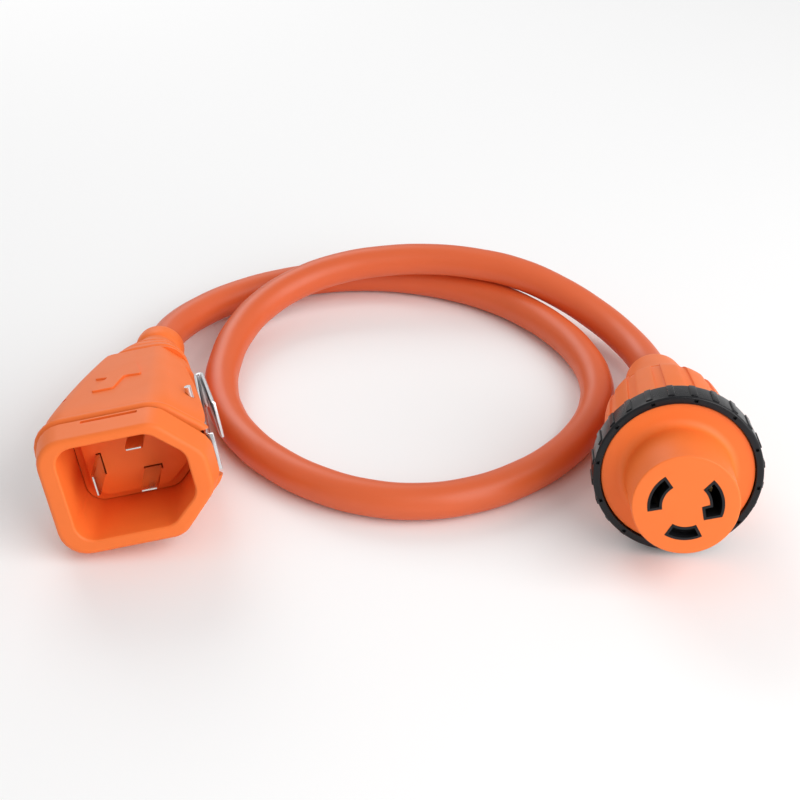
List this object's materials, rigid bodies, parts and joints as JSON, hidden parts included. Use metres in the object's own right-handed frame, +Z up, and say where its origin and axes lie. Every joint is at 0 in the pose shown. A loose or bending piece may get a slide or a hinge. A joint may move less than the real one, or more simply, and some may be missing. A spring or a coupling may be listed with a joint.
{
  "type": "shore power cord",
  "caption": "Short shore power adapter cord: shrouded plug with flat blades and steel side latches, one loop of thick cord, and a round locking socket with a threaded sealing ring.",
  "frame": {"origin": "middle of the two connectors' bounding box, at the ground they lie on", "axes": "+X from the plug to the socket, +Y from the connectors' faces towards the cord's loop, +Z up"},
  "size_m": [0.3038, 0.259, 0.0723],
  "materials": {
    "plug_shroud": "moulded, fine satin grain",
    "plug_gasket": "matte",
    "plug_housing": "moulded, fine satin grain",
    "plug_insert": "moulded, fine satin grain",
    "plug_blade_1": "nickel plated",
    "plug_blade_2": "nickel plated",
    "plug_blade_3": "nickel plated",
    "plug_terminal_screw_1": "stainless",
    "plug_terminal_screw_2": "stainless",
    "plug_terminal_screw_3": "stainless",
    "latch_right": "stainless",
    "latch_left": "stainless",
    "latch_pin_right": "stainless",
    "latch_pin_left": "stainless",
    "latch_spring_right": "stainless",
    "latch_spring_left": "stainless",
    "plug_cord_clamp": "satin",
    "plug_clamp_screw_1": "stainless",
    "plug_clamp_screw_2": "stainless",
    "plug_boot": "moulded, fine satin grain",
    "plug_jacket_end": "smooth satin jacket",
    "plug_wire_1": "smooth insulation",
    "plug_wire_2": "smooth insulation",
    "plug_wire_3": "smooth insulation",
    "socket_nose": "moulded, fine satin grain",
    "socket_insert": "satin",
    "socket_contact_1": "plain",
    "socket_contact_2": "plain",
    "socket_contact_3": "plain",
    "socket_terminal_screw_1": "stainless",
    "socket_terminal_screw_2": "stainless",
    "socket_terminal_screw_3": "stainless",
    "locking_ring": "satin",
    "ring_retainer": "satin",
    "socket_housing": "moulded, fine satin grain",
    "socket_cord_clamp": "satin",
    "socket_clamp_screw_1": "stainless",
    "socket_clamp_screw_2": "stainless",
    "socket_boot": "moulded, fine satin grain",
    "socket_jacket_end": "smooth satin jacket",
    "socket_wire_1": "smooth insulation",
    "socket_wire_2": "smooth insulation",
    "socket_wire_3": "smooth insulation",
    "cord": "smooth satin jacket"
  },
  "bodies": {
    "cord_set": {"plug_shroud": "plug_shroud", "plug_gasket": "plug_gasket", "plug_housing": "plug_housing", "plug_insert": "plug_insert", "plug_blade_1": "plug_blade_1", "plug_blade_2": "plug_blade_2", "plug_blade_3": "plug_blade_3", "plug_terminal_screw_1": "plug_terminal_screw_1", "plug_terminal_screw_2": "plug_terminal_screw_2", "plug_terminal_screw_3": "plug_terminal_screw_3", "latch_pin_right": "latch_pin_right", "latch_pin_left": "latch_pin_left", "latch_spring_right": "latch_spring_right", "latch_spring_left": "latch_spring_left", "plug_cord_clamp": "plug_cord_clamp", "plug_clamp_screw_1": "plug_clamp_screw_1", "plug_clamp_screw_2": "plug_clamp_screw_2", "plug_boot": "plug_boot", "plug_jacket_end": "plug_jacket_end", "plug_wire_1": "plug_wire_1", "plug_wire_2": "plug_wire_2", "plug_wire_3": "plug_wire_3", "socket_nose": "socket_nose", "socket_insert": "socket_insert", "socket_contact_1": "socket_contact_1", "socket_contact_2": "socket_contact_2", "socket_contact_3": "socket_contact_3", "socket_terminal_screw_1": "socket_terminal_screw_1", "socket_terminal_screw_2": "socket_terminal_screw_2", "socket_terminal_screw_3": "socket_terminal_screw_3", "ring_retainer": "ring_retainer", "socket_housing": "socket_housing", "socket_cord_clamp": "socket_cord_clamp", "socket_clamp_screw_1": "socket_clamp_screw_1", "socket_clamp_screw_2": "socket_clamp_screw_2", "socket_boot": "socket_boot", "socket_jacket_end": "socket_jacket_end", "socket_wire_1": "socket_wire_1", "socket_wire_2": "socket_wire_2", "socket_wire_3": "socket_wire_3", "cord": "cord"},
    "right_latch": {"latch_right": "latch_right"},
    "left_latch": {"latch_left": "latch_left"},
    "ring": {"locking_ring": "locking_ring"}
  },
  "joints": [
    {"name": "latch_right_hinge", "type": "hinge", "parent": "cord_set", "child": "right_latch", "pos_m": [-0.08759, -0.0142, 0.0343], "axis": [-0.1909, 0.1448, 0.9709], "range_deg": [0, 6], "stiffness_Nm_per_rad": 0.05, "deforming": ["latch_spring_right"]},
    {"name": "latch_left_hinge", "type": "hinge", "parent": "cord_set", "child": "left_latch", "pos_m": [-0.14018, -0.01878, 0.02464], "axis": [0.1909, -0.1448, -0.9709], "range_deg": [0, 6], "stiffness_Nm_per_rad": 0.05, "deforming": ["latch_spring_left"]},
    {"name": "locking_ring_spin", "type": "hinge", "parent": "cord_set", "child": "ring", "pos_m": [0.11624, -0.04779, 0.03622], "axis": [0.053, 0.9792, -0.1959], "continuous": true}
  ]
}
